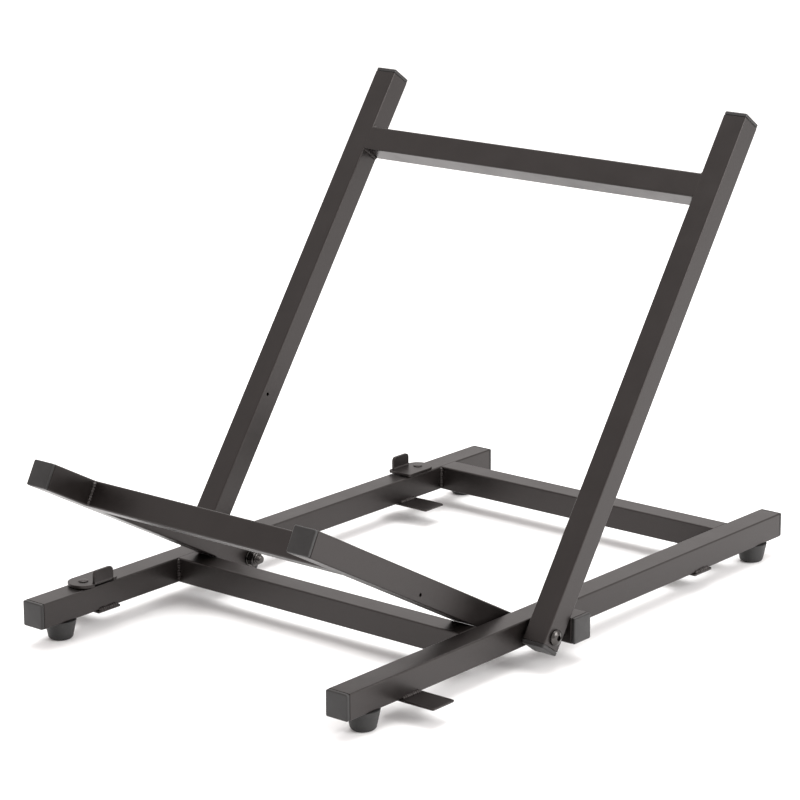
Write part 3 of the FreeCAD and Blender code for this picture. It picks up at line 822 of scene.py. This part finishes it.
# ---------------------------------------------------------------- welds
def bead(start, end, seed):
    """Rings of one rippled weld bead along a corner, tapering into both ends."""
    along = end - start
    length = along.length
    count = max(WELD_LEAST_STEPS, int(length / WELD_PITCH * WELD_STEPS_PER_RIPPLE))
    turn = placed(start, along, side_of(along.normalized()))
    slow, quick = WELD_WAVES
    rings = []
    for step in range(count + 1):
        z = length * step / count
        from_end = min(z, length - z)
        taper = math.sqrt(max(WELD_TIP, min(1.0, from_end / WELD_R)))
        ripple = abs(math.sin(math.pi * (z / WELD_PITCH + WELD_PHASE * seed)))
        wander = math.sin(z / WELD_PITCH * slow + seed) + math.sin(z / WELD_PITCH * quick + 2 * seed)
        radius = taper * (WELD_R + WELD_RIPPLE * (ripple - 0.5) + WELD_WANDER * wander)
        rings.append([turn @ p for p in polar_ring(radius, z, WELD_ROUND_STEPS)])
    return rings


def welds(name, body, corners):
    """All beads of one welded piece, as one object."""
    whole = bmesh.new()
    for seed, (start, end) in enumerate(corners):
        part = loft(bead(start, end, seed))
        data = bpy.data.meshes.new("bead")
        part.to_mesh(data)
        part.free()
        whole.from_mesh(data)
        bpy.data.meshes.remove(data)
    dress(to_object(name + "_welds", whole, Matrix.Identity(4)), "black_coat", body)


def crossbar_corners(node, across, depth):
    """Corner lines between a crossbar's ends and the side tubes; across steps between its two open
    faces, depth is the direction that each bead runs in."""
    low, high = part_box(node)
    centre = (low + high) / 2
    corners = []
    for x in (low.x, high.x):
        for face in (-1, 1):
            middle = Vector((x, centre.y, centre.z)) + across * face * TUBE / 2
            corners.append((middle - depth * WELD_RUN, middle + depth * WELD_RUN))
    return corners


def plate_corners(name, end):
    """Lines where a rest plate's upper face meets the rail's two sides."""
    low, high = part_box(f"{name}_{end}_rest_plate")
    rail_low, rail_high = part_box(name + "_rail")
    z = high.z + PLATE_WELD_LIFT
    return [(Vector((x, low.y + PLATE_WELD_INSET, z)), Vector((x, high.y - PLATE_WELD_INSET, z)))
            for x in (rail_low.x + PLATE_WELD_LIFT, rail_high.x - PLATE_WELD_LIFT)]


def all_welds():
    """The beads of each crossbar, of each stop stub and of each side's rest plates."""
    welds("mid_crossbar", "base", crossbar_corners("mid_crossbar", Y, Z))
    welds("rear_crossbar", "base", crossbar_corners("rear_crossbar", Y, Z))
    welds("backrest_crossbar", "backrest",
          crossbar_corners("backrest_crossbar", UPRIGHT_ALONG, BACK_NORMAL))
    welds("lip_crossbar", "lip_frame", crossbar_corners("lip_crossbar", LIP_ALONG, LIP_NORMAL))
    for name, side in SIDES.items():
        low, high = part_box(name + "_stop_stub")
        x = low.x if side > 0 else high.x
        level = (low.z + high.z) / 2
        welds(name + "_stop_stub", "base", [
            (Vector((x, y, level - WELD_RUN)), Vector((x, y, level + WELD_RUN))) for y in (low.y, high.y)])
        welds(name + "_rest_plate", "base", plate_corners(name, "front") + plate_corners(name, "rear"))


# ---------------------------------------------------------------- the stand
def build_stand():
    """Rebuilds every visible piece; the CAD nodes that stay get this file's materials."""
    rails()
    for node in ("mid_crossbar", "rear_crossbar"):
        square_tube(node, X, Y, fill=WELD_FILL / 2)
    swinging_tubes("upright", UPRIGHT_ALONG, BACK_NORMAL, ("top", "bottom"), UPRIGHT_DRAIN,
                   DRAIN_OFFSET, -1)
    square_tube("backrest_crossbar", X, BACK_NORMAL, fill=WELD_FILL)
    swinging_tubes("lip_arm", LIP_ALONG, LIP_NORMAL, ("front", "rear"), LIP_ARM_DRAIN,
                   -DRAIN_OFFSET, 1)
    square_tube("lip_crossbar", X, LIP_NORMAL, fill=WELD_FILL)
    rest_plates()
    feet()
    latches()
    pivots()
    all_welds()
    for name, node in frame["nodes"].items():
        if not node.hide_render:
            for held in node.material_slots:
                held.material = MATERIALS[SLOT_OF[name]]


# ---------------------------------------------------------------- studio
CAMERA_AZIMUTH = 39.962
CAMERA_ELEVATION = 15.154
CAMERA_ROLL = -0.308
CAMERA_LENS = 138.33
CAMERA_SHIFT = (0.0059, 0.0034)
CAMERA_PLACE = PIVOT + Vector((1.8167, -2.1202, 0.9387))
CAMERA_SIGHT = 50.0
FLOOR_SIZE = 14.0
WORLD_COLOUR = (1.0, 0.955, 0.94, 1.0)
WORLD_STRENGTH = 1.08
SOFTBOXES = (       # name, place, width of the square, power in watts
    ("right_softbox", (3.0, 0.9, 1.6), 2.0, 90.0),
    ("top_softbox", (-0.4, 0.6, 3.0), 2.4, 92.0),
)


def camera():
    """The photograph's view, its place measured from the pivot line."""
    azimuth, elevation = math.radians(CAMERA_AZIMUTH), math.radians(CAMERA_ELEVATION)
    level = math.cos(elevation)
    back = Vector((math.sin(azimuth) * level, -math.cos(azimuth) * level, math.sin(elevation)))
    data = bpy.data.cameras.new("camera")
    data.lens = CAMERA_LENS
    data.shift_x, data.shift_y = CAMERA_SHIFT
    data.clip_end = CAMERA_SIGHT
    shooter = bpy.data.objects.new("camera", data)
    bpy.context.scene.collection.objects.link(shooter)
    turn = back.to_track_quat("Z", "Y").to_matrix().to_4x4()
    roll = Matrix.Rotation(math.radians(CAMERA_ROLL), 4, "Z")
    shooter.matrix_world = Matrix.Translation(CAMERA_PLACE) @ turn @ roll
    bpy.context.scene.camera = shooter


def softbox(name, place, target, width, power):
    data = bpy.data.lights.new(name, "AREA")
    data.shape = "SQUARE"
    data.size = width
    data.energy = power
    lamp = bpy.data.objects.new(name, data)
    bpy.context.scene.collection.objects.link(lamp)
    towards = Vector(place) - Vector(target)
    lamp.matrix_world = Matrix.Translation(place) @ towards.to_track_quat("Z", "Y").to_matrix().to_4x4()


def studio():
    """Pale floor under the stand, even light all round and two softboxes."""
    low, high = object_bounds()
    middle = (low + high) / 2
    half = FLOOR_SIZE / 2
    sheet = bmesh.new()
    corners = [(-half, -half), (half, -half), (half, half), (-half, half)]
    sheet.faces.new([sheet.verts.new((x, y, 0)) for x, y in corners])
    floor = to_object("studio_floor", sheet, Matrix.Translation((0, 0, low.z)))
    floor.data.materials.append(floor_paint())
    floor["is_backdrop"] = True
    world = bpy.data.worlds.new("studio")
    bpy.context.scene.world = world
    world.use_nodes = True
    background = world.node_tree.nodes["Background"]
    background.inputs["Color"].default_value = WORLD_COLOUR
    background.inputs["Strength"].default_value = WORLD_STRENGTH
    for name, place, width, power in SOFTBOXES:
        softbox(name, place, middle, width, power)
    bpy.context.scene.view_settings.view_transform = "Standard"


build_stand()
studio()
camera()
